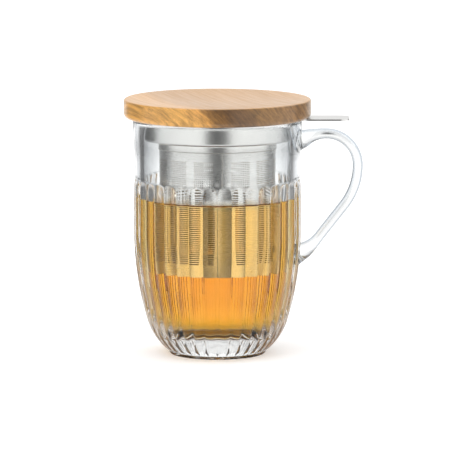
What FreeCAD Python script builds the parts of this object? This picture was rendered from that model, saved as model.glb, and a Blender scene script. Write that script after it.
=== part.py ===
import FreeCAD, Part
import math
import os

from FreeCAD import Vector as V

# A lidded tea mug with a lift-out infuser. A heavy pressed-glass mug with reeded sides and an applied
# handle carries a sheet-steel infuser that hangs from its rim. A turned wooden lid closes the infuser,
# and a soft ring on the lid's plug seals it. Sizes are in millimetres and +Z is up. The mug's axis is Z,
# the handle points along +X, and the table is at Z = 0.

# Mug body
MUG_HEIGHT = 118.9          # table to the top of the rim
WALL_R = 41.7               # plain outside wall
GLASS_WALL = 4.7
RIM_SWELL = 1.0             # how far the rim swells past the wall
FLARE_DROP = 22.9           # rim down to where the wall starts to swell
RIM_DROP = 3.9              # rim down to where it has its full radius
RIM_ROUND = 1.5             # fire-polished edges of the rim
BELLY_Z = 62.0              # below this height the outside draws in
HEEL_IN, HEEL_Z = 6.6, 17.1     # inward of the wall, where the long curve meets the tight one
FOOT_IN, FOOT_RISE = 17.3, 1.4  # inward of the wall, the smooth foot disc under the reeds
FOOT_BEVEL = 0.6
STAND_RING = 4.6            # width of the flat ring that the mug stands on
PUNT_DEPTH = 1.4            # hollow under the base
INNER_BELLY_Z = 54.0        # below this height the inside draws in
INNER_HEEL_IN, INNER_HEEL_Z = 3.8, 26.0     # inward of the bore, where its long curve meets the bowl
FLOOR_Z = 12.5              # top of the thick base, inside the mug

# Reeds pressed into the outside wall
REEDS = 36
REED_TOP_DROP = 30.3        # rim down to the crown of the round-headed reeds
REED_FOOT_Z = 1.9           # where the reeds run out above the foot
REED_PROUD = 0.45           # height of a reed on the straight wall
REED_PROUD_HEEL = 0.36
REED_PROUD_FOOT = 0.25
REED_ROUND = 8.3            # radius of a reed's section
REED_HEAD_ROUND = 18.0      # radius with which a reed's head dips into the wall
REED_ROOT = 1.2             # how deep a reed's solid is keyed into the wall
REED_GAP_DEG = 0.3          # least plain glass between two reeds

# Applied glass handle
HANDLE_ROOT_IN, HANDLE_ROOT_DROP = 4.2, 12.3    # inside the wall and below the rim, upper joint
HANDLE_CROWN_OUT, HANDLE_CROWN_DROP = 14.3, 7.3     # highest point of the centre line
HANDLE_BEND_R = 14.7                            # the finger bend
HANDLE_FALL_R = 26.0                            # the bend that turns the strap back to the mug
HANDLE_FALL_DEG = 37.3                          # slope of the straight fall, from the vertical
HANDLE_FALL_LENGTH = 28.0
HANDLE_TAIL_DEG, HANDLE_TAIL_R = 20.0, 45.0     # how the tail turns towards the wall
HANDLE_THICK, HANDLE_WIDE = 5.2, 9.6            # the strap's oval section
JOINT_THICK, JOINT_WIDE = 11.0, 13.0            # the section where it is stuck to the wall
JOINT_FLARE = 15.0                              # length over which it swells to the joint
HANDLE_STATIONS = 12

# Infuser, sheet steel
COLLAR_CLEARANCE = 0.5      # between the collar and the bore
COLLAR_SHEET = 0.5
COLLAR_DEPTH = 9.6          # rim of the mug to the underside of the shoulder
COLLAR_ROUND = 1.6          # outside bend at the foot of the collar
SHOULDER = 7.3              # outside of the collar to the outside of the sleeve
SLEEVE_SHEET = 0.3
NECK_SHEET = 0.4
NECK_DEPTH = 3.2            # the neck that the sleeve is welded into
PLATE_SHEET = 0.8
PLATE_OVERHANG = 0.2        # rim plate past the mug's rim
TAB_LENGTH = 23.4           # tip of the lifting tab past the plate
TAB_WIDE = 18.0
TAB_ROUND = 4.5             # corners of the tab's tip
TAB_FILLET = 4.0            # where the tab runs into the plate
INFUSER_DEPTH = 75.5        # rim of the mug to the underside of the infuser
BASE_SHEET = 0.5
BASE_SKIRT = 3.2            # upturned edge of the base, welded inside the sleeve
BASE_BEND = 1.0             # sloped bend between the base and its skirt
WELD_GAP = 0.05             # between two pieces of sheet that are welded round

# Perforated windows in the sleeve
WINDOWS = 13
WINDOW_DEG = 19.2           # arc of one window
WINDOW_GAP_DEG = 7.8        # plain bar between two windows
SEAM_DEG = 274.8            # where the sleeve's welded seam is, a little right of the front
WINDOW_LOW, WINDOW_HIGH = 6.0, 57.8     # above the underside of the infuser
HOLE_COLUMNS, HOLE_ROWS = 2, 6
HOLE_SHARE = 0.56           # side of a hole, as a share of its pitch

# Lid
LID_OVERHANG = 4.4          # past the mug's rim
LID_THICK = 9.5
LID_EDGE_LOW, LID_EDGE_HIGH = 2.6, 1.0      # rounded edges, lower and upper
DISH_MARGIN, DISH_DEPTH = 3.6, 2.4          # hollow in the lid's top
PLUG_CLEARANCE = 0.9                        # plug to the collar
PLUG_DEPTH = 7.0
PLUG_CHAMFER = 0.8
SEAL_HIGH = 3.4
SEAL_INSET = 1.7                            # depth of the seal's groove in the plug
SEAL_CLEARANCE = 0.3                        # seal to the collar
SEAL_DROP = 1.8                             # underside of the lid to the groove
SEAL_CHAMFER = 0.5

# Radii and heights that several pieces share
RIM_R = WALL_R + RIM_SWELL
BORE_R = WALL_R - GLASS_WALL
COLLAR_R = BORE_R - COLLAR_CLEARANCE
SLEEVE_R = COLLAR_R - SHOULDER
PLATE_R = RIM_R + PLATE_OVERHANG
INFUSER_Z = MUG_HEIGHT - INFUSER_DEPTH
SHOULDER_Z = MUG_HEIGHT - COLLAR_DEPTH
PLATE_TOP_Z = MUG_HEIGHT + PLATE_SHEET
LID_R = RIM_R + LID_OVERHANG
PLUG_R = COLLAR_R - COLLAR_SHEET - PLUG_CLEARANCE

ORIGIN = V(0, 0, 0)
AXIS_Z = V(0, 0, 1)
AXIS_Y = V(0, 1, 0)
DOWN = V(0, 0, -1)
TRIM = 1.0                  # how far rough stock stands past a finished face


def point(radius, height):
    """A point of a half section, in the XZ plane."""
    return V(radius, 0, height)


def line(a, b):
    return Part.LineSegment(a, b).toShape()


def polyline(points):
    return [line(a, b) for a, b in zip(points, points[1:])]


def quarter(start, corner, end):
    """A quarter round from start to end, whose tangents meet square at corner."""
    centre = start + end - corner
    middle = centre + (corner - centre).normalize() * (start - centre).Length
    return Part.Arc(start, middle, end).toShape()


def tangent_arc(start, heading, end):
    """The arc that leaves start along heading and ends at end, with its centre and its last heading."""
    chord = end - start
    side = V(heading.z, 0, -heading.x)
    reach = chord.dot(chord) / (2 * chord.dot(side))
    centre = start + side * reach
    way = ((start - centre) + (end - centre)).normalize()
    last = chord * (2 * chord.dot(heading) / chord.dot(chord)) - heading
    return Part.Arc(start, centre + way * abs(reach), end).toShape(), centre, last.normalize()


def turned(edges):
    """A solid of revolution about Z, from the edges of its half section."""
    return Part.Face(Part.Wire(edges)).revolve(ORIGIN, AXIS_Z, 360)


def tube(outer, inner, low, high):
    """A plain tube about Z."""
    solid = Part.makeCylinder(outer, high - low, point(0, low))
    return solid.cut(Part.makeCylinder(inner, high - low, point(0, low)))


def around(shape, angles):
    """Copies of shape, turned about Z by each angle."""
    copies = []
    for angle in angles:
        copy = shape.copy()
        copy.rotate(ORIGIN, AXIS_Z, angle)
        copies.append(copy)
    return copies


def save(shape, name):
    shape.exportStep(os.path.join("parts", name + ".step"))


# The mug, a glass body with an applied handle

def mug_outside_edges():
    """The plain outside of the mug without reeds, left long at the foot and at the rim."""
    foot_r = WALL_R - FOOT_IN
    foot_end, foot_top = point(foot_r, -TRIM), point(foot_r, FOOT_RISE)
    heel, belly = point(WALL_R - HEEL_IN, HEEL_Z), point(WALL_R, BELLY_Z)
    flare_foot = point(WALL_R, MUG_HEIGHT - FLARE_DROP)
    flare_top, rim_end = point(RIM_R, MUG_HEIGHT - RIM_DROP), point(RIM_R, MUG_HEIGHT + TRIM)
    flare_middle = (flare_foot + flare_top) * 0.5
    long_curve, _, at_heel = tangent_arc(belly, DOWN, heel)
    tight_curve, _, _ = tangent_arc(heel, at_heel, foot_top)
    swell, _, at_middle = tangent_arc(flare_foot, AXIS_Z, flare_middle)
    settle, _, _ = tangent_arc(flare_middle, at_middle, flare_top)
    return [
        line(point(0, -TRIM), foot_end),
        line(foot_end, foot_top),
        tight_curve,
        long_curve,
        line(belly, flare_foot),
        swell,
        settle,
        line(flare_top, rim_end),
        line(rim_end, point(0, MUG_HEIGHT + TRIM)),
        line(point(0, MUG_HEIGHT + TRIM), point(0, -TRIM)),
    ]


def reed():
    """One reed: an arc-topped bar that follows the wall, cut to its own share of the circle."""
    half_turn = math.acos(1 - (REED_PROUD + REED_ROOT) / REED_ROUND)
    depth = REED_ROUND * (1 - math.cos(half_turn))
    half_wide = REED_ROUND * math.sin(half_turn)

    def section(top, inward):
        """The bar's section, with its crest at top and inward as the way into the wall."""
        left = top + inward * depth - AXIS_Y * half_wide
        right = top + inward * depth + AXIS_Y * half_wide
        return Part.Face(Part.Wire([Part.Arc(left, top, right).toShape(), line(right, left)]))

    crest = WALL_R + REED_PROUD
    belly = point(crest, BELLY_Z)
    dip = math.sqrt(2 * REED_HEAD_ROUND * REED_PROUD)
    head = point(crest, MUG_HEIGHT - REED_TOP_DROP - dip)
    head_turn = math.degrees(math.acos(1 - (REED_PROUD + REED_ROOT) / REED_HEAD_ROUND))
    head_centre = head - V(REED_HEAD_ROUND, 0, 0)
    pieces = [
        section(belly, V(-1, 0, 0)).extrude(head - belly),
        section(head, V(-1, 0, 0)).revolve(head_centre, AXIS_Y, -head_turn),
    ]
    heel = point(WALL_R - HEEL_IN + REED_PROUD_HEEL, HEEL_Z - REED_PROUD_HEEL / 3)
    foot = point(WALL_R - FOOT_IN + REED_PROUD_FOOT, REED_FOOT_Z / 2)
    start, heading = belly, DOWN
    for end in (heel, foot):
        _, centre, last = tangent_arc(start, heading, end)
        turn = math.degrees(math.acos(heading.dot(last)))
        pieces.append(section(start, (centre - start).normalize()).revolve(centre, AXIS_Y, turn))
        start, heading = end, last
    share = 360.0 / REEDS - REED_GAP_DEG
    keeper = Part.makeCylinder(RIM_R, MUG_HEIGHT, point(0, REED_FOOT_Z), AXIS_Z, share)
    keeper.rotate(ORIGIN, AXIS_Z, -share / 2)
    return pieces[0].multiFuse(pieces[1:]).common(keeper)


def mug_outside():
    """The mug as if it were solid glass, with the reeds on it."""
    # The wall's curves are longer than their distance from the axis, and only meet the reeds as splines
    blank = turned(mug_outside_edges()).toNurbs()
    pitch = 360.0 / REEDS
    return blank.multiFuse(around(reed(), [pitch * (i + 0.5) for i in range(REEDS)]))


def mug_mouth():
    """What is taken off above: the drinking space, and the rim's flat and rounded edges."""
    rim_side, rim_flat = point(RIM_R, MUG_HEIGHT - RIM_ROUND), point(RIM_R - RIM_ROUND, MUG_HEIGHT)
    lip_flat, lip_side = point(BORE_R + RIM_ROUND, MUG_HEIGHT), point(BORE_R, MUG_HEIGHT - RIM_ROUND)
    belly, heel = point(BORE_R, INNER_BELLY_Z), point(BORE_R - INNER_HEEL_IN, INNER_HEEL_Z)
    long_curve, _, at_heel = tangent_arc(belly, DOWN, heel)
    bowl_r = (INNER_HEEL_Z - FLOOR_Z) / (1 + at_heel.x)
    bowl_end = point(heel.x + bowl_r * at_heel.z, FLOOR_Z)
    bowl, _, _ = tangent_arc(heel, at_heel, bowl_end)
    outer_round = quarter(rim_side, point(RIM_R, MUG_HEIGHT), rim_flat)
    inner_round = quarter(lip_flat, point(BORE_R, MUG_HEIGHT), lip_side)
    edges = [outer_round, line(rim_flat, lip_flat), inner_round, line(lip_side, belly), long_curve, bowl]
    above, clear = MUG_HEIGHT + 2 * TRIM, RIM_R + TRIM
    edges += polyline([bowl_end, point(0, FLOOR_Z), point(0, above), point(clear, above),
                       point(clear, rim_side.z), rim_side])
    return turned(edges)


def mug_underside():
    """What is taken off below: the bevel of the foot, its flat ring, and the shallow hollow inside it."""
    foot_r = WALL_R - FOOT_IN
    ring_out, ring_in = point(foot_r - FOOT_BEVEL, 0), point(foot_r - FOOT_BEVEL - STAND_RING, 0)
    dome, _, _ = tangent_arc(point(0, PUNT_DEPTH), V(1, 0, 0), ring_in)
    clear, below = foot_r + TRIM, -2 * TRIM
    return turned([dome] + polyline([
        ring_in, ring_out, point(foot_r, FOOT_BEVEL), point(clear, FOOT_BEVEL), point(clear, below),
        point(0, below), point(0, PUNT_DEPTH)]))


def handle_path():
    """The handle's centre line, from inside the upper wall round to inside the lower wall."""
    root = point(WALL_R - HANDLE_ROOT_IN, MUG_HEIGHT - HANDLE_ROOT_DROP)
    crown = point(WALL_R + HANDLE_CROWN_OUT, MUG_HEIGHT - HANDLE_CROWN_DROP)
    rise, _, _ = tangent_arc(crown, V(-1, 0, 0), root)
    edges = [rise]
    place, slope = crown, -90.0
    for radius, turn in ((HANDLE_BEND_R, 90.0), (HANDLE_FALL_R, HANDLE_FALL_DEG),
                         (None, HANDLE_FALL_LENGTH), (HANDLE_TAIL_R, HANDLE_TAIL_DEG)):
        # slope is the way the strap runs, from straight down towards the mug
        if radius is None:
            way = V(-math.sin(math.radians(slope)), 0, -math.cos(math.radians(slope)))
            edges.append(line(place, place + way * turn))
            place = place + way * turn
            continue
        spokes = []
        for angle in (slope, slope + turn / 2, slope + turn):
            spokes.append(V(math.cos(math.radians(angle)), 0, -math.sin(math.radians(angle))) * radius)
        centre = place - spokes[0]
        edges.append(Part.Arc(place, centre + spokes[1], centre + spokes[2]).toShape())
        place, slope = centre + spokes[2], slope + turn
    return Part.Wire(Part.__sortEdges__(edges))


def handle_section(place, way, thick, wide):
    """The oval section of the strap, square to its way."""
    across = V(way.z, 0, -way.x)
    oval = Part.Ellipse(place + AXIS_Y * (wide / 2), place + across * (thick / 2), place)
    return Part.Wire(oval.toShape())


def mug_handle(outside):
    """The handle, trimmed to sit on the wall and on the reeds."""
    path = handle_path()
    places = path.discretize(Number=HANDLE_STATIONS * 8 + 1)
    run = [0.0]
    for a, b in zip(places, places[1:]):
        run.append(run[-1] + (b - a).Length)
    sections = []
    for k in range(HANDLE_STATIONS + 1):
        i = 8 * k
        way = (places[min(i + 1, len(places) - 1)] - places[max(i - 1, 0)]).normalize()
        reach = min(run[i], run[-1] - run[i])
        swell = max(0.0, 1 - reach / JOINT_FLARE) ** 2
        thick = HANDLE_THICK + (JOINT_THICK - HANDLE_THICK) * swell
        wide = HANDLE_WIDE + (JOINT_WIDE - HANDLE_WIDE) * swell
        sections.append(handle_section(places[i], way, thick, wide))
    strap = Part.makeLoft(sections, True, False)
    pieces = strap.cut(outside).Solids
    return max(pieces, key=lambda piece: piece.Volume)


# The infuser, four pieces of sheet steel

def infuser_rim():
    """The flat rim plate that hangs on the mug, with the tab that it is lifted by."""
    plate = tube(PLATE_R, COLLAR_R + WELD_GAP, MUG_HEIGHT, PLATE_TOP_Z)
    reach = PLATE_R + TAB_LENGTH
    tab = Part.makeBox(reach - COLLAR_R - 1, TAB_WIDE, PLATE_SHEET, V(COLLAR_R + 1, -TAB_WIDE / 2, MUG_HEIGHT))
    tips = [e for e in tab.Edges if abs(e.BoundBox.XMin - reach) < 1e-6 and e.BoundBox.ZLength > PLATE_SHEET / 2]
    tab = tab.makeFillet(TAB_ROUND, tips)
    whole = plate.fuse(tab).removeSplitter()
    corner_x = math.sqrt(PLATE_R ** 2 - (TAB_WIDE / 2) ** 2)
    roots = []
    for e in whole.Edges:
        box = e.BoundBox
        upright = box.ZLength > PLATE_SHEET / 2 and box.XLength < 1e-6
        if upright and abs(box.XMin - corner_x) < 0.01:
            roots.append(e)
    return whole.makeFillet(TAB_FILLET, roots)


def infuser_collar():
    """The drawn collar with its shoulder and the neck that holds the sleeve."""
    neck_in = SLEEVE_R + WELD_GAP
    neck_out = neck_in + NECK_SHEET
    neck_low = SHOULDER_Z - NECK_DEPTH
    inner_r = COLLAR_R - COLLAR_SHEET
    bend = COLLAR_ROUND - COLLAR_SHEET
    floor = SHOULDER_Z + COLLAR_SHEET
    outer_side, outer_flat = point(COLLAR_R, SHOULDER_Z + COLLAR_ROUND), point(COLLAR_R - COLLAR_ROUND, SHOULDER_Z)
    edges = [quarter(outer_side, point(COLLAR_R, SHOULDER_Z), outer_flat)]
    edges += polyline([
        outer_flat, point(neck_out, SHOULDER_Z), point(neck_out, neck_low), point(neck_in, neck_low),
        point(neck_in, floor), point(inner_r - bend, floor), point(inner_r, floor + bend),
        point(inner_r, PLATE_TOP_Z), point(COLLAR_R, PLATE_TOP_Z), outer_side])
    return turned(edges)


def infuser_sleeve():
    """The rolled and welded sleeve, with its perforated windows."""
    inner = SLEEVE_R - SLEEVE_SHEET
    top = SHOULDER_Z + COLLAR_SHEET
    sleeve = tube(SLEEVE_R, inner, INFUSER_Z, top)
    column_deg = WINDOW_DEG / HOLE_COLUMNS
    row = (WINDOW_HIGH - WINDOW_LOW) / HOLE_ROWS
    high = row * HOLE_SHARE
    wide = SLEEVE_R * math.radians(column_deg) * HOLE_SHARE
    punch = Part.makeBox(2.0, wide, high, V(inner - 1, -wide / 2, -high / 2))
    step = WINDOW_DEG + WINDOW_GAP_DEG
    first = SEAM_DEG + (360.0 - (WINDOWS - 1) * step - WINDOW_DEG) / 2
    punches = []
    for k in range(WINDOWS):
        for column in range(HOLE_COLUMNS):
            angle = first + k * step + (column + 0.5) * column_deg
            for j in range(HOLE_ROWS):
                hole = punch.copy()
                hole.translate(point(0, INFUSER_Z + WINDOW_LOW + (j + 0.5) * row))
                punches += around(hole, [angle])
    return sleeve.cut(Part.makeCompound(punches))


def infuser_base():
    """The pressed base, a shallow pan whose skirt is welded inside the sleeve."""
    outer = SLEEVE_R - SLEEVE_SHEET - WELD_GAP
    inner = outer - BASE_SHEET
    low, floor, top = INFUSER_Z, INFUSER_Z + BASE_SHEET, INFUSER_Z + BASE_SKIRT
    bend = BASE_BEND - BASE_SHEET / 2
    return turned(polyline([
        point(0, low), point(outer - BASE_BEND, low), point(outer, low + BASE_BEND), point(outer, top),
        point(inner, top), point(inner, floor + bend), point(inner - bend, floor), point(0, floor),
        point(0, low)]))


# The lid, a turned wooden disc on a plug with a soft ring

def lid_disc():
    """The wooden disc, dished on top and flat underneath."""
    under, top = PLATE_TOP_Z, PLATE_TOP_Z + LID_THICK
    low, high = LID_EDGE_LOW, LID_EDGE_HIGH
    dish_edge = point(LID_R - DISH_MARGIN, top)
    dish, _, _ = tangent_arc(point(0, top - DISH_DEPTH), V(1, 0, 0), dish_edge)
    edges = polyline([point(0, top - DISH_DEPTH), point(0, under), point(LID_R - low, under)])
    edges.append(quarter(point(LID_R - low, under), point(LID_R, under), point(LID_R, under + low)))
    edges.append(line(point(LID_R, under + low), point(LID_R, top - high)))
    edges.append(quarter(point(LID_R, top - high), point(LID_R, top), point(LID_R - high, top)))
    edges.append(line(point(LID_R - high, top), dish_edge))
    edges.append(dish)
    return turned(edges)


def lid_plug():
    """The wooden plug under the disc, grooved for the ring. It drops into the collar."""
    high = PLATE_TOP_Z
    low = high - PLUG_DEPTH
    groove_top, groove_low = high - SEAL_DROP, high - SEAL_DROP - SEAL_HIGH
    groove_r = PLUG_R - SEAL_INSET
    return turned(polyline([
        point(0, high), point(0, low), point(PLUG_R - PLUG_CHAMFER, low), point(PLUG_R, low + PLUG_CHAMFER),
        point(PLUG_R, groove_low), point(groove_r, groove_low), point(groove_r, groove_top),
        point(PLUG_R, groove_top), point(PLUG_R, high), point(0, high)]))


def lid_seal():
    """The soft ring that lies in the plug's groove and stands a little proud of it."""
    outer, inner = COLLAR_R - COLLAR_SHEET - SEAL_CLEARANCE, PLUG_R - SEAL_INSET
    high = PLATE_TOP_Z - SEAL_DROP
    low = high - SEAL_HIGH
    shy = outer - SEAL_CHAMFER
    return turned(polyline([
        point(inner, low), point(shy, low), point(outer, low + SEAL_CHAMFER),
        point(outer, high - SEAL_CHAMFER), point(shy, high), point(inner, high), point(inner, low)]))


os.makedirs("parts", exist_ok=True)
outside = mug_outside()
save(outside.cut(mug_mouth()).cut(mug_underside()), "mug_body")
save(mug_handle(outside), "mug_handle")
save(infuser_rim(), "infuser_rim")
save(infuser_collar(), "infuser_collar")
save(infuser_sleeve(), "infuser_sleeve")
save(infuser_base(), "infuser_base")
save(lid_disc(), "lid_disc")
save(lid_plug(), "lid_plug")
save(lid_seal(), "lid_seal")
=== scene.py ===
import bmesh
import bpy
import math
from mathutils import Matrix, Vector


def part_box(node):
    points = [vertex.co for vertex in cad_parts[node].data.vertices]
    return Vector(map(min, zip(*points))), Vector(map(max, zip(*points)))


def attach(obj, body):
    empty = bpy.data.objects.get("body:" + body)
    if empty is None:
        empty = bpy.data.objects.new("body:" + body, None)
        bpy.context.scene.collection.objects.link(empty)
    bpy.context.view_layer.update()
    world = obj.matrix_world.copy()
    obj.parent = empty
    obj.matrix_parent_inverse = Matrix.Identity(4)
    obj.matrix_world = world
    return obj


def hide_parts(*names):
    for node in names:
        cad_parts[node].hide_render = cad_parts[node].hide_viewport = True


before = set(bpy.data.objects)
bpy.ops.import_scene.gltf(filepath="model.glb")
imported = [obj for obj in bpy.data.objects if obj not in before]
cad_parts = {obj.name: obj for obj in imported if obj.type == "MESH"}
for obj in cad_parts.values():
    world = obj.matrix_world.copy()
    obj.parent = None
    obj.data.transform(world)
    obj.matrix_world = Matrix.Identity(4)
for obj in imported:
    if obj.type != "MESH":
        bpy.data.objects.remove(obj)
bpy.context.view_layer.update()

# The mug body
# A heavy pressed-glass mug. The mould gives it 36 round-headed reeds, a thick base and a hollow foot,
# and its rim is fire-polished. Everything else stands in it or hangs from it.

MM = 0.001
STEPS_PER_REED = 12
REEDS = 36
ROUND_STEPS = REEDS * STEPS_PER_REED
RIM_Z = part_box("mug_body")[1].z
WALL_R = 41.7 * MM
GLASS_WALL = 4.7 * MM
RIM_SWELL = 1.0 * MM
FLARE_DROP = 22.9 * MM
RIM_DROP = 3.9 * MM
RIM_ROUND = 1.5 * MM
BELLY_Z = 62.0 * MM
HEEL_IN, HEEL_Z = 6.6 * MM, 17.1 * MM
FOOT_IN, FOOT_RISE = 17.3 * MM, 1.4 * MM
FOOT_BEVEL = 0.6 * MM
STAND_RING = 4.6 * MM
PUNT_DEPTH = 1.4 * MM
INNER_BELLY_Z = 54.0 * MM
INNER_HEEL_IN, INNER_HEEL_Z = 3.8 * MM, 26.0 * MM
FLOOR_Z = 12.5 * MM
REED_TOP_Z = RIM_Z - 30.3 * MM
REED_FOOT_Z = 1.9 * MM
REED_RUN_OUT = 1.6 * MM
REED_PROUD = 0.45 * MM
REED_PROUD_HEEL = 0.36 * MM
REED_PROUD_FOOT = 0.25 * MM
REED_ROUND = 6.2 * MM
REED_HEAD_ROUND = 18.0 * MM
REED_BLEND = 0.04 * MM
REED_SHOULDER = 1.2 * MM
REED_HEAD_LENGTH, REED_HEAD_CLEAR = 7 * MM, 0.5 * MM
SHOULDER_SLOPE = 0.45
REED_SUNK = 0.75 * MM
REED_SUNK_FOOT = 0.15 * MM
BORE_R = WALL_R - GLASS_WALL
OUTWARD, DOWN, UP = Vector((1, 0)), Vector((0, -1)), Vector((0, 1))


def bend(run, heading, end, steps):
    """Carries a half section on to end, by the arc that leaves its last point along heading.

    Gives the arc's last heading.
    """
    chord = end - run[-1]
    centre = run[-1] + Vector((heading.y, -heading.x)) * chord.length_squared / (
        2 * (chord.x * heading.y - chord.y * heading.x))
    start, stop = run[-1] - centre, end - centre
    turn = math.remainder(math.atan2(stop.y, stop.x) - math.atan2(start.y, start.x), math.tau)
    for k in range(1, steps + 1):
        angle = math.atan2(start.y, start.x) + turn * k / steps
        run.append(centre + Vector((math.cos(angle), math.sin(angle))) * start.length)
    return chord * (2 * chord.dot(heading) / chord.length_squared) - heading


def straight(run, end, steps=1):
    """Carries a half section on by a straight line."""
    start = run[-1]
    for k in range(1, steps + 1):
        run.append(start.lerp(end, k / steps))


def spun(run, steps):
    """A half section turned about Z into a closed skin."""
    bm = bmesh.new()
    chain = [bm.verts.new((p.x, 0, p.y)) for p in run]
    for a, b in zip(chain, chain[1:]):
        bm.edges.new((a, b))
    if run[0].x > 0 and run[-1].x > 0:
        bm.edges.new((chain[-1], chain[0]))
    bmesh.ops.spin(bm, geom=bm.verts[:] + bm.edges[:], cent=(0, 0, 0), axis=(0, 0, 1),
                   angle=math.tau, steps=steps, use_merge=True)
    bmesh.ops.remove_doubles(bm, verts=bm.verts[:], dist=0.0005 * MM)
    bmesh.ops.recalc_face_normals(bm, faces=bm.faces[:])
    return bm


def piece(bm, name, material, body, sharp_deg=35):
    """Makes the skin a smooth-shaded object, sharp at its own corners, that rides on a body."""
    bm.normal_update()
    for edge in bm.edges:
        edge.smooth = len(edge.link_faces) != 2 or edge.calc_face_angle(0) < math.radians(sharp_deg)
    for face in bm.faces:
        face.smooth = True
    mesh = bpy.data.meshes.new(name)
    bm.to_mesh(mesh)
    bm.free()
    made = bpy.data.objects.new(name, mesh)
    bpy.context.scene.collection.objects.link(made)
    made.data.materials.append(material)
    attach(made, body)
    return made


def add(tree, kind, inputs=None, **settings):
    """A shader node of that kind. An input is a plain value, or a socket that is linked to it."""
    made = tree.nodes.new("ShaderNode" + kind)
    for name, value in settings.items():
        setattr(made, name, value)
    for name, value in (inputs or {}).items():
        if isinstance(value, bpy.types.NodeSocket):
            tree.links.new(value, made.inputs[name])
        else:
            made.inputs[name].default_value = value
    return made


def calc(tree, operation, *values):
    """A sum on sockets or plain values."""
    return add(tree, "Math", dict(enumerate(values)), operation=operation).outputs[0]


def spread(tree, value, low, high, first=0.0, last=1.0):
    """Carries a value from the range low to high over to first to last, and holds it at the ends."""
    return add(tree, "MapRange", {
        "Value": value, "From Min": low, "From Max": high, "To Min": first, "To Max": last}).outputs[0]


def finish(name, surface, volume=None):
    """A material whose shader is made by surface(tree), and whose filling, if any, by volume(tree)."""
    made = bpy.data.materials.new(name)
    made.use_nodes = True
    tree = made.node_tree
    tree.nodes.clear()
    out = tree.nodes.new("ShaderNodeOutputMaterial")
    tree.links.new(surface(tree), out.inputs["Surface"])
    if volume:
        tree.links.new(volume(tree), out.inputs["Volume"])
    return made


# Facing range over which the glass's painted edge shade comes in
EDGE_SHADE_FROM, EDGE_SHADE_TO = 0.05, 0.65


def clear_body(tree, ior, tint, painted_edge_shade, shine, ripple_scale, ripple):
    """Clear, faintly uneven glass or liquid, with painted shade at its edges where an edge shade is given.
    Shadow rays pass it, so that what it holds is lit.
    """
    place = add(tree, "TexCoord").outputs["Object"]
    waves = add(tree, "TexNoise", {"Vector": place, "Scale": ripple_scale, "Detail": 2.0})
    bump = add(tree, "Bump", {"Height": waves.outputs["Fac"], "Strength": ripple, "Distance": 1 * MM})
    colour = tint
    if painted_edge_shade:
        # Painted shade: towards the edges, where the glass turns away from the view, its colour is mixed
        # towards a grey that stands in for the dark the bent light meets there
        facing = add(tree, "LayerWeight", {"Blend": 0.5}).outputs["Facing"]
        share = spread(tree, facing, EDGE_SHADE_FROM, EDGE_SHADE_TO)
        colour = add(tree, "Mix", {0: share, 6: tint, 7: painted_edge_shade}, data_type="RGBA").outputs[2]
    body = add(tree, "BsdfPrincipled", {
        "Base Color": colour, "Roughness": 0.0, "IOR": ior, "Transmission Weight": 1.0,
        "Specular Tint": (shine, shine, shine, 1), "Normal": bump.outputs[0]})
    passing = add(tree, "BsdfTransparent", {"Color": tint})
    shadow = add(tree, "LightPath").outputs["Is Shadow Ray"]
    return add(tree, "MixShader", {0: shadow, 1: body.outputs[0], 2: passing.outputs[0]}).outputs[0]


def inside(floor_z, bore_r):
    """The half section of the mug's inside, from the middle of its floor to where the bore is straight."""
    belly, heel = Vector((bore_r, INNER_BELLY_Z)), Vector((bore_r - INNER_HEEL_IN, INNER_HEEL_Z))
    drop = [belly]
    at_heel = bend(drop, DOWN, heel, 12)
    bowl_r = (heel.y - floor_z) / (1 + at_heel.x)
    run = [Vector((0, floor_z))]
    straight(run, Vector((heel.x + bowl_r * at_heel.y, floor_z)), 3)
    bend(run, OUTWARD, heel, 16)
    return run + drop[-2::-1]


def mug_section():
    """The glass, from the middle of its floor up the inside, over the rim, down the outside and under."""
    run = inside(FLOOR_Z, BORE_R)
    straight(run, Vector((BORE_R, RIM_Z - RIM_ROUND)), 7)
    bend(run, UP, Vector((BORE_R + RIM_ROUND, RIM_Z)), 5)
    rim_r = WALL_R + RIM_SWELL
    straight(run, Vector((rim_r - RIM_ROUND, RIM_Z)))
    bend(run, OUTWARD, Vector((rim_r, RIM_Z - RIM_ROUND)), 5)
    flare_top, flare_foot = Vector((rim_r, RIM_Z - RIM_DROP)), Vector((WALL_R, RIM_Z - FLARE_DROP))
    straight(run, flare_top)
    heading = bend(run, DOWN, (flare_top + flare_foot) / 2, 5)
    bend(run, heading, flare_foot, 5)
    outside_from = len(run) - 1
    straight(run, Vector((WALL_R, REED_TOP_Z + REED_SHOULDER + REED_HEAD_CLEAR)))
    straight(run, Vector((WALL_R, REED_TOP_Z - REED_HEAD_LENGTH)), 24)
    straight(run, Vector((WALL_R, BELLY_Z)), 5)
    heading = bend(run, DOWN, Vector((WALL_R - HEEL_IN, HEEL_Z)), 14)
    bend(run, heading, Vector((WALL_R - FOOT_IN, FOOT_RISE)), 26)
    outside_to = len(run) - 1
    foot_r = WALL_R - FOOT_IN
    straight(run, Vector((foot_r, FOOT_BEVEL)))
    straight(run, Vector((foot_r - FOOT_BEVEL, 0)))
    straight(run, Vector((foot_r - FOOT_BEVEL - STAND_RING, 0)), 2)
    # The punt's dome is level in the middle, so it is drawn from there and then turned round
    dome = [Vector((0, PUNT_DEPTH))]
    bend(dome, OUTWARD, run[-1], 8)
    run += dome[-2::-1]
    return run, outside_from, outside_to


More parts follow.
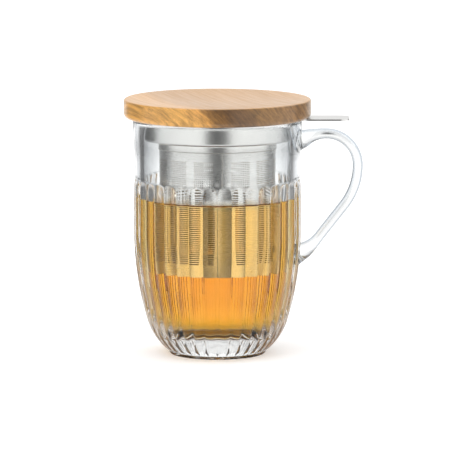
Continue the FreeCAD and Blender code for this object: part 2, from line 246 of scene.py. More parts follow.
def reed_height(z, across):
    """How far the reeds stand out of the plain wall's line, at a height and a distance from a crest."""
    if z > HEEL_Z:
        share = min(1, (z - HEEL_Z) / (BELLY_Z - HEEL_Z))
        proud = REED_PROUD_HEEL + (REED_PROUD - REED_PROUD_HEEL) * share
    else:
        proud = REED_PROUD_FOOT + (REED_PROUD_HEEL - REED_PROUD_FOOT) * z / HEEL_Z
    sunk = REED_SUNK_FOOT + (REED_SUNK - REED_SUNK_FOOT) * min(1, z / (2 * HEEL_Z))
    # Between the reeds lies the sunk wall, which comes up to the plain wall above their heads by a slope
    wall = -min(sunk, max(0, REED_TOP_Z + REED_SHOULDER - z) * SHOULDER_SLOPE)
    height = proud - (REED_ROUND - math.sqrt(REED_ROUND ** 2 - across ** 2))
    head = REED_TOP_Z - math.sqrt(2 * REED_HEAD_ROUND * REED_PROUD)
    height -= max(0, z - head) ** 2 / (2 * REED_HEAD_ROUND)
    # A smooth largest of the two, as the mould's edges come out in hot glass
    soft = (height + wall + math.sqrt((height - wall) ** 2 + REED_BLEND ** 2)) / 2
    return soft * min(1, max(0, z - REED_FOOT_Z) / REED_RUN_OUT)


run, outside_from, outside_to = mug_section()
outward = {}
for k in range(outside_from + 1, outside_to):
    along = (run[k + 1] - run[k - 1]).normalized()
    outward[round(run[k].y / MM, 3)] = (run[k].x, -along.y, along.x)
bm = spun(run, ROUND_STEPS)
pitch = math.tau / REEDS
for vert in bm.verts:
    r, normal_r, normal_z = outward.get(round(vert.co.z / MM, 3), (0, 0, 0))
    angle = math.atan2(vert.co.y, vert.co.x)
    if r and abs(math.hypot(vert.co.x, vert.co.y) - r) < 0.01 * MM:
        across = r * (angle % pitch - pitch / 2)
        height = reed_height(vert.co.z, across)
        vert.co += Vector((math.cos(angle) * normal_r, math.sin(angle) * normal_r, normal_z)) * height

GLASS_TINT = (0.985, 0.995, 0.99, 1)
# Grey painted shade for the mug's edges
MUG_PAINTED_EDGE_SHADE = (0.58, 0.6, 0.62, 1)
# The wetted inner face lies inside the tea, and would shine there as it does in air
MUG_SHINE = 0.5
GLASS_IOR = 1.5
mug_glass = finish("mug_glass", lambda tree: clear_body(
    tree, GLASS_IOR, GLASS_TINT, MUG_PAINTED_EDGE_SHADE, MUG_SHINE, ripple_scale=90, ripple=0.05))
mug = piece(bm, "reeded_glass_body", mug_glass, "mug", sharp_deg=60)
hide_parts("mug_body")

# The handle
# A separate gather of glass, drawn out into an oval strap, bent, and stuck to the hot wall at both ends,
# where it swells into the joints.

ROOT_IN, ROOT_DROP = 4.2 * MM, 14.0 * MM
CROWN_OUT, CROWN_DROP = 13.0 * MM, 7.3 * MM
BEND_R = 16.0 * MM
FALL_R, FALL_DEG, FALL_LENGTH = 33.0 * MM, 38.0, 21.5 * MM
TAIL_R, TAIL_DEG = 28.0 * MM, 34.0
STRAP_THICK, STRAP_WIDE = 5.2 * MM, 9.6 * MM
JOINT_THICK, JOINT_WIDE = 9.6 * MM, 13.0 * MM
JOINT_FLARE = 12.0 * MM
JOINT_BITE = 0.5 * MM
STRAP_SIDES = 48


def turn_on(run, radius, start_deg, turn_deg, steps):
    """Carries the strap's line on by an arc. Its angles are leans from straight down, towards the mug."""
    spoke = math.radians(start_deg)
    centre = run[-1] - Vector((math.cos(spoke), -math.sin(spoke))) * radius
    for k in range(1, steps + 1):
        spoke = math.radians(start_deg + turn_deg * k / steps)
        run.append(centre + Vector((math.cos(spoke), -math.sin(spoke))) * radius)


crown = Vector((WALL_R + CROWN_OUT, RIM_Z - CROWN_DROP))
line = [crown]
bend(line, Vector((-1, 0)), Vector((WALL_R - ROOT_IN, RIM_Z - ROOT_DROP)), 14)
line.reverse()
turn_on(line, BEND_R, -90, 90, 20)
turn_on(line, FALL_R, 0, FALL_DEG, 12)
lean = math.radians(FALL_DEG)
straight(line, line[-1] + Vector((-math.sin(lean), -math.cos(lean))) * FALL_LENGTH, 12)
turn_on(line, TAIL_R, FALL_DEG, TAIL_DEG, 8)
line = [p for p in line if p.x > WALL_R + JOINT_BITE]
run_length = [0.0]
for a, b in zip(line, line[1:]):
    run_length.append(run_length[-1] + (b - a).length)

bm = bmesh.new()
bmesh.ops.create_circle(bm, segments=STRAP_SIDES, radius=1, cap_ends=False)
circle = [v.co.copy() for v in bm.verts]
ring, edges = bm.verts[:], bm.edges[:]
for k, place in enumerate(line):
    way = (line[min(k + 1, len(line) - 1)] - line[max(k - 1, 0)]).normalized()
    reach = min(run_length[k], run_length[-1] - run_length[k])
    swell = max(0, 1 - reach / JOINT_FLARE) ** 2
    thick = STRAP_THICK + (JOINT_THICK - STRAP_THICK) * swell
    wide = STRAP_WIDE + (JOINT_WIDE - STRAP_WIDE) * swell
    if k:
        grown = bmesh.ops.extrude_edge_only(bm, edges=edges)["geom"]
        ring = [g for g in grown if isinstance(g, bmesh.types.BMVert)]
        edges = [g for g in grown if isinstance(g, bmesh.types.BMEdge)
                 and all(v in ring for v in g.verts)]
    for vert, spot in zip(ring, circle):
        across = Vector((way.y, -way.x)) * (spot.x * thick / 2)
        vert.co = Vector((place.x + across.x, spot.y * wide / 2, place.y + across.y))
        if k in (0, len(line) - 1):
            # The end lies on the wall: it is carried back along the strap to just inside the glass
            back = -way if k == 0 else way
            target = math.sqrt((WALL_R - JOINT_BITE) ** 2 - vert.co.y ** 2)
            vert.co += Vector((back.x, 0, back.y)) * ((target - vert.co.x) / back.x)
bmesh.ops.holes_fill(bm, edges=[e for e in bm.edges if e.is_boundary], sides=0)
bmesh.ops.recalc_face_normals(bm, faces=bm.faces[:])

# Dark grey-blue painted shade for the handle's edges
HANDLE_PAINTED_EDGE_SHADE = (0.2, 0.25, 0.31, 1)
handle_glass = finish("handle_glass", lambda tree: clear_body(
    tree, GLASS_IOR, GLASS_TINT, HANDLE_PAINTED_EDGE_SHADE, shine=1.0, ripple_scale=120, ripple=0.08))
handle = piece(bm, "applied_glass_handle", handle_glass, "mug", sharp_deg=60)
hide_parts("mug_handle")

# The tea
# Strained black tea up to below the infuser's shoulder. It is what the mug holds and not a part of it, so it
# stays in the mug when the infuser is lifted. It wets the glass and climbs it in a narrow rim.

TEA_Z = 79.0 * MM
TEA_CLIMB, TEA_CLIMB_WIDE = 1.1 * MM, 2.2 * MM
WETTING = 0.06 * MM
WATER_IOR = 1.333
TEA_COLOUR = (0.952, 0.772, 0.10, 1)
TEA_DENSITY = 83.0

wet_r = BORE_R + WETTING
run = inside(FLOOR_Z - WETTING, wet_r)
straight(run, Vector((wet_r, TEA_Z + TEA_CLIMB)), 2)
for k in range(1, 7):
    share = k / 6
    run.append(Vector((wet_r - TEA_CLIMB_WIDE * share, TEA_Z + TEA_CLIMB * (1 - share) ** 2.5)))
straight(run, Vector((0, TEA_Z)), 4)


def tea_volume(tree):
    return add(tree, "VolumeAbsorption", {"Color": TEA_COLOUR, "Density": TEA_DENSITY}).outputs[0]


tea_finish = finish("black_tea", lambda tree: clear_body(
    tree, WATER_IOR, (1, 1, 1, 1), None, shine=0.0, ripple_scale=60, ripple=0.02), tea_volume)
piece(spun(run, 180), "tea", tea_finish, "mug", sharp_deg=60)

# The infuser's sleeve
# A rolled sheet of satin stainless steel, welded at one seam a little right of the front. Its thirteen
# windows are etched with small square holes, and plain bars stand between them.

SLEEVE_LOW, SLEEVE_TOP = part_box("infuser_sleeve")[0].z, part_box("infuser_sleeve")[1].z
SLEEVE_R = 29.2 * MM
SLEEVE_SHEET = 0.3 * MM
WINDOWS = 13
WINDOW_DEG, WINDOW_GAP_DEG = 19.2, 7.8
SEAM_DEG = 274.8
WINDOW_LOW, WINDOW_HIGH = 6.0 * MM, 57.8 * MM
HOLE_COLUMNS, HOLE_ROWS = 10, 54
HOLE_SHARE = 0.5
SEAM_WIDE, SEAM_PROUD = 1.0 * MM, 0.12 * MM
STEEL = (0.7, 0.695, 0.68, 1)
TEA_FILM = (0.94, 0.77, 0.6, 1)
FILM_EDGE = 3 * MM
# Inner side colour: tea stain, darkened as painted shade
STAINED_AND_SHADED = (0.5, 0.4, 0.24, 1)
SCRATCH_DEPTH = 0.02 * MM


def brushing_group():
    """Fine scratches that run round the mug's axis, and a slower unevenness of the gloss."""
    group = bpy.data.node_groups.new("round_brushing", "ShaderNodeTree")
    group.interface.new_socket("Vector", in_out="INPUT", socket_type="NodeSocketVector")
    group.interface.new_socket("Gloss Low", in_out="INPUT", socket_type="NodeSocketFloat")
    group.interface.new_socket("Gloss High", in_out="INPUT", socket_type="NodeSocketFloat")
    group.interface.new_socket("Roughness", in_out="OUTPUT", socket_type="NodeSocketFloat")
    group.interface.new_socket("Height", in_out="OUTPUT", socket_type="NodeSocketFloat")
    came = group.nodes.new("NodeGroupInput").outputs
    goes = group.nodes.new("NodeGroupOutput").inputs
    stretched = add(group, "Mapping", {"Vector": came["Vector"], "Scale": (30, 30, 9000)})
    scratches = add(group, "TexNoise", {"Vector": stretched.outputs[0], "Scale": 1.0, "Detail": 2.0})
    patches = add(group, "TexNoise", {"Vector": came["Vector"], "Scale": 60.0, "Detail": 2.0})
    mixed = calc(group, "MULTIPLY_ADD", scratches.outputs["Fac"], 0.4,
                 calc(group, "MULTIPLY", patches.outputs["Fac"], 0.6))
    gloss = spread(group, mixed, 0.3, 0.7, came["Gloss Low"], came["Gloss High"])
    group.links.new(gloss, goes["Roughness"])
    group.links.new(scratches.outputs["Fac"], goes["Height"])
    return group


brushing = brushing_group()


def satin_steel(name, clean, gloss_low, gloss_high, bump, anisotropy, stain=None):
    """Brushed stainless sheet, with a film of tea on it below the tea's surface where a stain is given."""
    def surface(tree):
        place = add(tree, "TexCoord").outputs["Object"]
        colour = clean
        if stain:
            height = add(tree, "SeparateXYZ", {0: place}).outputs[2]
            dry = spread(tree, height, TEA_Z - FILM_EDGE, TEA_Z)
            colour = add(tree, "Mix", {0: dry, 6: stain, 7: clean}, data_type="RGBA").outputs[2]
        brushed = add(tree, "Group", {}, node_tree=brushing)
        tree.links.new(place, brushed.inputs["Vector"])
        brushed.inputs["Gloss Low"].default_value = gloss_low
        brushed.inputs["Gloss High"].default_value = gloss_high
        lines = add(tree, "Bump", {
            "Height": brushed.outputs["Height"], "Strength": bump, "Distance": SCRATCH_DEPTH})
        return add(tree, "BsdfPrincipled", {
            "Base Color": colour, "Metallic": 1.0, "Roughness": brushed.outputs["Roughness"],
            "Anisotropic": anisotropy, "Normal": lines.outputs[0]}).outputs[0]
    return finish(name, surface)


def sheet_strips():
    """The flat sheet, unrolled: how wide each strip is in degrees, and whether holes go in it."""
    seam_gap = 360 - WINDOWS * WINDOW_DEG - (WINDOWS - 1) * WINDOW_GAP_DEG
    strips = [(seam_gap / 4, False), (seam_gap / 4, False)]
    for k in range(WINDOWS):
        strips += [(WINDOW_DEG / HOLE_COLUMNS, True)] * HOLE_COLUMNS
        if k < WINDOWS - 1:
            strips += [(WINDOW_GAP_DEG / 3, False)] * 3
    return strips + [(seam_gap / 4, False), (seam_gap / 4, False)]


strips = sheet_strips()
bands = [(WINDOW_LOW, False)]
bands += [((WINDOW_HIGH - WINDOW_LOW) / HOLE_ROWS, True)] * HOLE_ROWS
bands += [(SLEEVE_TOP - SLEEVE_LOW - WINDOW_HIGH, False)]
bm = bmesh.new()
bmesh.ops.create_grid(bm, x_segments=len(strips), y_segments=len(bands), size=0.5)
angles, heights = [0.0], [SLEEVE_LOW]
for width, _ in strips:
    angles.append(angles[-1] + width)
for height, _ in bands:
    heights.append(heights[-1] + height)
for vert in bm.verts:
    column = round((vert.co.x + 0.5) * len(strips))
    row = round((vert.co.y + 0.5) * len(bands))
    vert.co = Vector((math.radians(angles[column]) * SLEEVE_R, 0, heights[row]))
bm.normal_update()
holed = []
for face in bm.faces:
    middle = face.calc_center_median()
    degrees = math.degrees(middle.x / SLEEVE_R)
    column = sum(1 for a in angles[1:-1] if a < degrees)
    row = sum(1 for h in heights[1:-1] if h < middle.z)
    if strips[column][1] and bands[row][1]:
        holed.append(face)
cell = math.radians(WINDOW_DEG / HOLE_COLUMNS) * SLEEVE_R
bmesh.ops.inset_individual(bm, faces=holed, thickness=cell * (1 - HOLE_SHARE) / 2, use_even_offset=True)
bmesh.ops.delete(bm, geom=holed, context="FACES")
for vert in bm.verts:
    angle = vert.co.x / SLEEVE_R + math.radians(SEAM_DEG)
    vert.co = Vector((math.cos(angle) * SLEEVE_R, math.sin(angle) * SLEEVE_R, vert.co.z))
bmesh.ops.remove_doubles(bm, verts=bm.verts[:], dist=0.005 * MM)
bmesh.ops.recalc_face_normals(bm, faces=bm.faces[:])
bmesh.ops.solidify(bm, geom=bm.faces[:], thickness=SLEEVE_SHEET)

sleeve_steel = satin_steel("sleeve_steel", STEEL, 0.24, 0.3, 0.03, 0.5, TEA_FILM)
sleeve = piece(bm, "perforated_sleeve", sleeve_steel, "infuser")
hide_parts("infuser_sleeve")
# Tea leaves stain the inner side and the holes' edges, and their darker colour is also painted shade of the
# shut basket's inside
sleeve.data.materials.append(satin_steel("stained_and_shaded_steel", STAINED_AND_SHADED, 0.4, 0.5, 0.06, 0.0))
for face in sleeve.data.polygons:
    radial = Vector((face.center.x, face.center.y, 0)).normalized()
    face.material_index = 0 if face.normal.dot(radial) > 0.5 else 1

# The sleeve's seam
# A ground-down weld that closes the rolled sheet. It stands proud of the sheet by about a tenth of a
# millimetre, and ends at the collar's neck.

# Weld colour, darker than the sheet; on the neck's bead it is painted gap shade
WELD_TONE_AND_GAP_SHADE = (0.5, 0.48, 0.46, 1)

bm = bmesh.new()
bmesh.ops.create_grid(bm, x_segments=4, y_segments=30, size=0.5)
SEAM_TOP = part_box("infuser_collar")[0].z
for vert in bm.verts:
    across = vert.co.x * SEAM_WIDE
    r = SLEEVE_R - SLEEVE_SHEET / 2 + (SEAM_PROUD + SLEEVE_SHEET / 2) * math.cos(math.pi * vert.co.x) ** 0.5
    angle = math.radians(SEAM_DEG) + across / SLEEVE_R
    z = SLEEVE_LOW + (vert.co.y + 0.5) * (SEAM_TOP - SLEEVE_LOW)
    vert.co = Vector((math.cos(angle) * r, math.sin(angle) * r, z))
bmesh.ops.recalc_face_normals(bm, faces=bm.faces[:])
bmesh.ops.solidify(bm, geom=bm.faces[:], thickness=SLEEVE_SHEET / 3)
weld_and_gap_shade_steel = satin_steel("weld_and_gap_shade_steel", WELD_TONE_AND_GAP_SHADE, 0.35, 0.5, 0.3, 0.0)
piece(bm, "sleeve_seam_weld", weld_and_gap_shade_steel, "infuser")

# The infuser's base, collar and rim plate
# Three pressings of the same sheet, spot-welded to each other and to the sleeve. The collar carries the lid's
# plug, and the plate hangs on the glass rim and ends in the tab that the infuser is lifted by.

COLLAR_R = 36.5 * MM
COLLAR_SHEET = 0.5 * MM
COLLAR_ROUND = 1.6 * MM
NECK_SHEET = 0.4 * MM
WELD_GAP = 0.05 * MM
collar_low, collar_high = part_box("infuser_collar")
NECK_LOW, PLATE_TOP_Z = collar_low.z, collar_high.z
SHOULDER_Z = RIM_Z - 9.6 * MM
NECK_BEND = 0.9 * MM

inner_r, neck_in = COLLAR_R - COLLAR_SHEET, SLEEVE_R + WELD_GAP
neck_out = neck_in + NECK_SHEET
floor_z = SHOULDER_Z + COLLAR_SHEET
small = COLLAR_ROUND - COLLAR_SHEET
run = [Vector((neck_in, NECK_LOW))]
straight(run, Vector((neck_in, floor_z - NECK_BEND)), 2)
run.append(Vector((neck_in, floor_z)))
straight(run, Vector((inner_r - small, floor_z)), 2)
bend(run, OUTWARD, Vector((inner_r, floor_z + small)), 6)
straight(run, Vector((inner_r, PLATE_TOP_Z)), 3)
straight(run, Vector((COLLAR_R, PLATE_TOP_Z)))
straight(run, Vector((COLLAR_R, SHOULDER_Z + COLLAR_ROUND)), 3)
bend(run, DOWN, Vector((COLLAR_R - COLLAR_ROUND, SHOULDER_Z)), 8)
straight(run, Vector((neck_out + NECK_BEND, SHOULDER_Z)), 2)
bend(run, Vector((-1, 0)), Vector((neck_out, SHOULDER_Z - NECK_BEND)), 5)
straight(run, Vector((neck_out, NECK_LOW)), 2)
collar_steel = satin_steel("collar_steel", STEEL, 0.22, 0.28, 0.08, 0.6)
collar = piece(spun(run, 180), "drawn_collar", collar_steel, "infuser")
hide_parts("infuser_collar")

# A small bead of weld runs round where the neck ends on the sleeve. Its dark weld colour is also painted
# shade, the shadow of the gap under the neck
NECK_WELD = 0.45 * MM
run = [Vector((SLEEVE_R, NECK_LOW)), Vector((neck_out, NECK_LOW))]
bend(run, DOWN, Vector((SLEEVE_R, NECK_LOW - NECK_WELD)), 5)
piece(spun(run, 180), "neck_weld_and_shade_bead", weld_and_gap_shade_steel, "infuser")

# The base stands wholly in the tea, so the film covers all of it
rim_steel = satin_steel("rim_steel", STEEL, 0.24, 0.32, 0.08, 0.0)
base_steel = satin_steel("base_steel", TEA_FILM, 0.26, 0.34, 0.04, 0.3)
for node, material in (("infuser_rim", rim_steel), ("infuser_base", base_steel)):
    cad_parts[node].data.materials.clear()
    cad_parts[node].data.materials.append(material)

# The lid's seal
# A soft ring of clear silicone in the plug's groove. It grips the collar, and is out of sight while the
# lid is on.


def silicone(tree):
    """Hazy silicone that lets a little light in."""
    place = add(tree, "TexCoord").outputs["Object"]
    haze = add(tree, "TexNoise", {"Vector": place, "Scale": 400.0, "Detail": 3.0})
    rough = spread(tree, haze.outputs["Fac"], 0.0, 1.0, 0.35, 0.55)
    grain = add(tree, "Bump", {"Height": haze.outputs["Fac"], "Strength": 0.15, "Distance": 0.05 * MM})
    return add(tree, "BsdfPrincipled", {
        "Base Color": (0.83, 0.83, 0.81, 1), "Roughness": rough, "Subsurface Weight": 0.3,
        "Subsurface Radius": (0.004, 0.004, 0.004), "Subsurface Scale": 0.5,
        "Normal": grain.outputs[0]}).outputs[0]


seal_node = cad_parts["lid_seal"]
seal_node.data.materials.clear()
seal_node.data.materials.append(finish("seal_silicone", silicone))

# The lid
# Turned from one oiled board of striped hardwood. Its top is dished, its edges are rounded by hand, and the
# plug underneath centres it in the collar.

LID_LOW, LID_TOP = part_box("lid_disc")[0].z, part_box("lid_disc")[1].z
LID_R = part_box("lid_disc")[1].x
LID_EDGE_LOW, LID_EDGE_HIGH = 2.6 * MM, 1.0 * MM
DISH_MARGIN, DISH_DEPTH = 3.6 * MM, 2.4 * MM

run = [Vector((0, LID_TOP - DISH_DEPTH))]
bend(run, OUTWARD, Vector((LID_R - DISH_MARGIN, LID_TOP)), 18)
straight(run, Vector((LID_R - LID_EDGE_HIGH, LID_TOP)), 2)
bend(run, OUTWARD, Vector((LID_R, LID_TOP - LID_EDGE_HIGH)), 6)
straight(run, Vector((LID_R, LID_LOW + LID_EDGE_LOW)), 3)
bend(run, DOWN, Vector((LID_R - LID_EDGE_LOW, LID_LOW)), 9)
straight(run, Vector((0, LID_LOW)), 6)

BAND_SPAN = 0.1
BANDS = (
    (-50, (0.66, 0.33, 0.07)), (-36, (0.72, 0.37, 0.08)), (-27, (0.64, 0.31, 0.07)),
    (-22, (0.28, 0.135, 0.034)), (-14, (0.15, 0.07, 0.02)), (-5, (0.17, 0.08, 0.022)),
    (0, (0.24, 0.12, 0.032)), (15, (0.28, 0.14, 0.038)), (28, (0.22, 0.105, 0.028)),
    (36, (0.32, 0.165, 0.045)), (48, (0.46, 0.25, 0.07)))
ACROSS_LAYERS, ALONG_GRAIN, IN_LAYER = (0.93, 0.37, 1.0), (0.37, -0.93, 0.0), (-0.66, -0.26, 0.7)
# The top's painted light: its colour, and how far it is mixed in
LIT_TOP_COLOUR = (0.68, 0.37, 0.13, 1)
LIT_TOP_SHARE = 0.7
OIL_ROUGHNESS = 0.15


def ramp(tree, factor, stops):
    """A colour ramp through (place from 0 to 1, colour) stops."""
    made = add(tree, "ValToRGB", {"Fac": factor})
    band = made.color_ramp.elements
    while len(band) < len(stops):
        band.new(0.5)
    for element, (place, colour) in zip(band, stops):
        element.position = place
        element.color = (*colour, 1)
    return made.outputs["Color"]


def wood_group():
    """Striped hardwood. The layers lean by 45 degrees, and the grain runs front to back, a little aslant."""
    group = bpy.data.node_groups.new("striped_hardwood", "ShaderNodeTree")
    group.interface.new_socket("Vector", in_out="INPUT", socket_type="NodeSocketVector")
    group.interface.new_socket("Color", in_out="OUTPUT", socket_type="NodeSocketColor")
    group.interface.new_socket("Roughness", in_out="OUTPUT", socket_type="NodeSocketFloat")
    group.interface.new_socket("Height", in_out="OUTPUT", socket_type="NodeSocketFloat")
    came = group.nodes.new("NodeGroupInput").outputs
    goes = group.nodes.new("NodeGroupOutput").inputs

    def reach(way):
        return add(group, "VectorMath", {0: came["Vector"], 1: way}, operation="DOT_PRODUCT").outputs["Value"]

    across, along, depth = reach(ACROSS_LAYERS), reach(ALONG_GRAIN), reach(IN_LAYER)
    board = add(group, "CombineXYZ", {0: across, 1: along, 2: depth}).outputs[0]

    def figure(scale, detail, distortion=0.0):
        stretched = add(group, "Mapping", {"Vector": board, "Scale": scale}).outputs[0]
        return add(group, "TexNoise", {
            "Vector": stretched, "Scale": 1.0, "Detail": detail, "Distortion": distortion}).outputs["Fac"]

    wander = calc(group, "MULTIPLY", calc(group, "SUBTRACT", figure((35, 9, 35), 3.0), 0.5), 16 * MM)
    layer = calc(group, "ADD", calc(group, "SUBTRACT", across, LID_TOP), wander)
    place = calc(group, "ADD", calc(group, "DIVIDE", layer, BAND_SPAN), 0.5)
    colour = ramp(group, place, [(h * MM / BAND_SPAN + 0.5, c) for h, c in BANDS])
    streaks = figure((620, 22, 200), 4.0, 0.3)
    pores = figure((2600, 90, 1500), 2.0)
    veins = spread(group, streaks, 0.32, 0.68, 0.62, 1.3)
    dots = spread(group, pores, 0.3, 0.48, 0.7, 1.0)
    shade = calc(group, "MULTIPLY", veins, dots)
    tinted = add(group, "VectorMath", {0: colour, "Scale": shade}, operation="SCALE").outputs[0]
    group.links.new(tinted, goes["Color"])
    group.links.new(spread(group, shade, 0.5, 1.3, 0.52, 0.34), goes["Roughness"])
    group.links.new(shade, goes["Height"])
    return group


hardwood = wood_group()


def oiled_wood(name, bump, coat):
    """Oiled striped hardwood. The flat top is painted lighter and more even than the side: painted light, the
    top lit from above and the side in shade.
    """
    def surface(tree):
        grain = add(tree, "Group", {}, node_tree=hardwood)
        place = add(tree, "TexCoord").outputs
        tree.links.new(place["Object"], grain.inputs["Vector"])
        level = add(tree, "SeparateXYZ", {0: place["Normal"]}).outputs[2]
        # Painted light: surfaces that face up are mixed towards the lighter top colour
        face = spread(tree, level, 0.6, 0.95, 0.0, LIT_TOP_SHARE)
        colour = add(tree, "Mix", {0: face, 6: grain.outputs["Color"], 7: LIT_TOP_COLOUR}, data_type="RGBA")
        relief = add(tree, "Bump", {
            "Height": grain.outputs["Height"], "Strength": bump, "Distance": 0.08 * MM})
        return add(tree, "BsdfPrincipled", {
            "Base Color": colour.outputs[2], "Roughness": grain.outputs["Roughness"],
            "Coat Weight": coat, "Coat Roughness": OIL_ROUGHNESS, "Normal": relief.outputs[0]}).outputs[0]
    return finish(name, surface)


lid_wood = oiled_wood("lid_wood", 0.2, 0.4)
lid = piece(spun(run, 192), "wooden_lid_disc", lid_wood, "lid")
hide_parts("lid_disc")
plug_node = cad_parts["lid_plug"]
plug_node.data.materials.clear()
plug_node.data.materials.append(oiled_wood("plug_wood", 0.5, 0.05))

# The studio
# A pale sweep under a bright tent. Narrow dark gaps at the sides and in front draw the edges of the glass and
# the bands in the steel, and the camera sees only white.

CAMERA_PLACE = Vector((0.0043, -2.12, 0.37))
CAMERA_AIM = Vector((0.0043, 0, 0.0645))
CAMERA_LENS = 338.0
SENSOR = 36.0
FLOOR_R = 9.0
TENT = 0.92
GLASS_TONES = ((-180, 1), (-162, 1), (-152, 0.75), (-112, 0.75), (-100, 1), (-60, 1), (-48, 0.7), (48, 0.4),
               (60, 1), (104, 1), (112, 0.06), (150, 0.06), (160, 1), (180, 1))
STEEL_TONES = ((-180, 1), (-152, 1), (-143, 0.15), (-106, 0.15), (-95, 1), (-21, 1), (-11, 0.06), (12, 0.06),
               (22, 1), (104, 1), (113, 0.2), (136, 0.2), (150, 1), (180, 1))
SKY_LOW, SKY_HIGH, SKY_TONE = 0.14, 0.22, 0.1


def tone_group():
    """How bright the tent is towards a direction or a place, for light that has or hasn't met steel."""
    group = bpy.data.node_groups.new("tent_tone", "ShaderNodeTree")
    group.interface.new_socket("Vector", in_out="INPUT", socket_type="NodeSocketVector")
    group.interface.new_socket("Steel", in_out="INPUT", socket_type="NodeSocketFloat")
    group.interface.new_socket("Tone", in_out="OUTPUT", socket_type="NodeSocketFloat")
    came = group.nodes.new("NodeGroupInput").outputs
    goes = group.nodes.new("NodeGroupOutput").inputs
    xyz = add(group, "SeparateXYZ", {0: came["Vector"]}).outputs
    angle = calc(group, "ARCTAN2", xyz[0], calc(group, "MULTIPLY", xyz[1], -1.0))
    place = calc(group, "MULTIPLY_ADD", angle, 1 / math.tau, 0.5)
    glass, steel = (ramp(group, place, [(a / 360 + 0.5, (t, t, t)) for a, t in tones])
                    for tones in (GLASS_TONES, STEEL_TONES))
    glass = calc(group, "MULTIPLY", glass, calc(group, "SUBTRACT", 1.0, came["Steel"]))
    group.links.new(calc(group, "MULTIPLY_ADD", steel, came["Steel"], glass), goes["Tone"])
    return group


tent_tone = tone_group()


def tent_light(tree, vector):
    """The light paths, whether this ray came by gloss or glass, and the tent's tone for it."""
    path = add(tree, "LightPath").outputs
    steel = calc(tree, "MINIMUM", path["Glossy Depth"], 1.0)
    toned = add(tree, "Group", {}, node_tree=tent_tone)
    tree.links.new(vector, toned.inputs["Vector"])
    tree.links.new(steel, toned.inputs["Steel"])
    banded = calc(tree, "MAXIMUM", path["Is Glossy Ray"], path["Is Transmission Ray"])
    return path, banded, toned.outputs["Tone"]


world = bpy.data.worlds.new("tent")
bpy.context.scene.world = world
world.use_nodes = True
tree = world.node_tree
tree.nodes.clear()
direction = add(tree, "TexCoord").outputs["Generated"]
path, banded, tone = tent_light(tree, direction)
rise = add(tree, "SeparateXYZ", {0: direction}).outputs[2]
over = spread(tree, rise, SKY_LOW, SKY_HIGH, 1.0, SKY_TONE)
# The tent is darker overhead only for light that has met no steel
in_glass = calc(tree, "SUBTRACT", 1.0, calc(tree, "MINIMUM", path["Glossy Depth"], 1.0))
above = calc(tree, "MULTIPLY_ADD", calc(tree, "SUBTRACT", over, 1.0), in_glass, 1.0)
tone = calc(tree, "MULTIPLY", tone, above)
seen = calc(tree, "MAXIMUM", path["Is Camera Ray"], calc(tree, "MULTIPLY", banded, tone))
plain = calc(tree, "SUBTRACT", 1.0, calc(tree, "MAXIMUM", path["Is Camera Ray"], banded))
other = calc(tree, "MULTIPLY", plain, TENT)
sky = add(tree, "Background", {"Color": (1, 1, 1, 1), "Strength": calc(tree, "ADD", seen, other)})
tree.links.new(sky.outputs[0], tree.nodes.new("ShaderNodeOutputWorld").inputs["Surface"])

FLOOR_NEAR, FLOOR_FAR = 0.12, 0.4
UNDER_FOOT, UNDER_FADE, FOOT_SHADOW_DARK = 23 * MM, 6 * MM, 0.95
PAPER_GLOW = 0.2


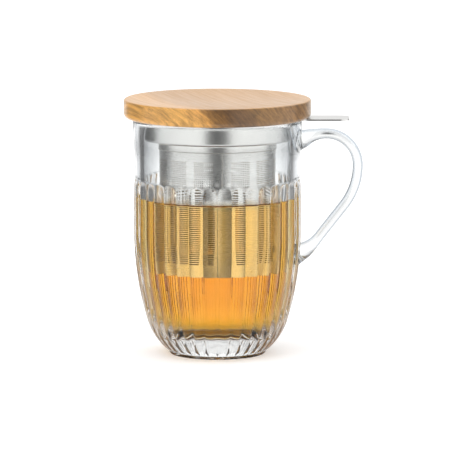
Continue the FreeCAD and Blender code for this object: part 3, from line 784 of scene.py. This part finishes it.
def sweep(tree):
    """White paper that keeps the mug's shadow. Seen in gloss and glass, it darkens away from the mug."""
    place = add(tree, "TexCoord").outputs["Object"]
    path, banded, tone = tent_light(tree, place)
    away = add(tree, "VectorMath", {0: place}, operation="LENGTH").outputs["Value"]
    fade = spread(tree, away, FLOOR_NEAR, FLOOR_FAR)
    dim = calc(tree, "MULTIPLY_ADD", calc(tree, "SUBTRACT", tone, 1.0),
               calc(tree, "MULTIPLY", fade, banded), 1.0)
    # The glass lets lamplight through, so the shadow under its foot is painted here, for gloss and glass rays
    painted_foot_shadow = spread(tree, away, UNDER_FOOT, UNDER_FOOT + UNDER_FADE, -FOOT_SHADOW_DARK, 0.0)
    dim = calc(tree, "MULTIPLY", dim, calc(tree, "MULTIPLY_ADD", painted_foot_shadow, banded, 1.0))
    fibre = add(tree, "TexNoise", {"Vector": place, "Scale": 900.0})
    grain = add(tree, "Bump", {"Height": fibre.outputs["Fac"], "Strength": 0.02, "Distance": 0.1 * MM})
    paper = add(tree, "BsdfDiffuse", {
        "Color": add(tree, "CombineXYZ", {0: dim, 1: dim, 2: dim}).outputs[0], "Normal": grain.outputs[0]})
    glowing = calc(tree, "MULTIPLY", calc(tree, "MAXIMUM", path["Is Camera Ray"], banded), PAPER_GLOW)
    glow = add(tree, "Emission", {"Color": (1, 1, 1, 1), "Strength": calc(tree, "MULTIPLY", dim, glowing)})
    return add(tree, "AddShader", {0: paper.outputs[0], 1: glow.outputs[0]}).outputs[0]


bm = bmesh.new()
bmesh.ops.create_circle(bm, segments=64, radius=FLOOR_R, cap_ends=True)
floor_mesh = bpy.data.meshes.new("sweep")
bm.to_mesh(floor_mesh)
bm.free()
floor = bpy.data.objects.new("sweep", floor_mesh)
floor.data.materials.append(finish("white_paper", sweep))
bpy.context.scene.collection.objects.link(floor)


def soft_lamp(name, place, aim, size, power):
    """A square diffused lamp that points from its place at its aim."""
    data = bpy.data.lights.new(name, "AREA")
    data.shape = "SQUARE"
    data.size = size
    data.energy = power
    lamp = bpy.data.objects.new(name, data)
    lamp.location = place
    lamp.rotation_euler = (Vector(aim) - Vector(place)).to_track_quat("-Z", "Y").to_euler()
    bpy.context.scene.collection.objects.link(lamp)


soft_lamp("key_lamp", (1.1, 0.5, 1.1), (0, 0, 0.06), 0.9, 4.5)
soft_lamp("top_lamp", (-0.3, -0.2, 1.6), (0, 0, 0.06), 0.9, 6.0)

camera_data = bpy.data.cameras.new("camera")
camera_data.sensor_width = SENSOR
camera_data.lens = CAMERA_LENS
camera = bpy.data.objects.new("camera", camera_data)
camera.location = CAMERA_PLACE
camera.rotation_euler = (CAMERA_AIM - CAMERA_PLACE).to_track_quat("-Z", "Y").to_euler()
bpy.context.scene.collection.objects.link(camera)
bpy.context.scene.camera = camera

scene = bpy.context.scene
scene.view_settings.view_transform = "Standard"
scene.cycles.max_bounces = 24
scene.cycles.transmission_bounces = 24
scene.cycles.transparent_max_bounces = 24
scene.cycles.glossy_bounces = 8
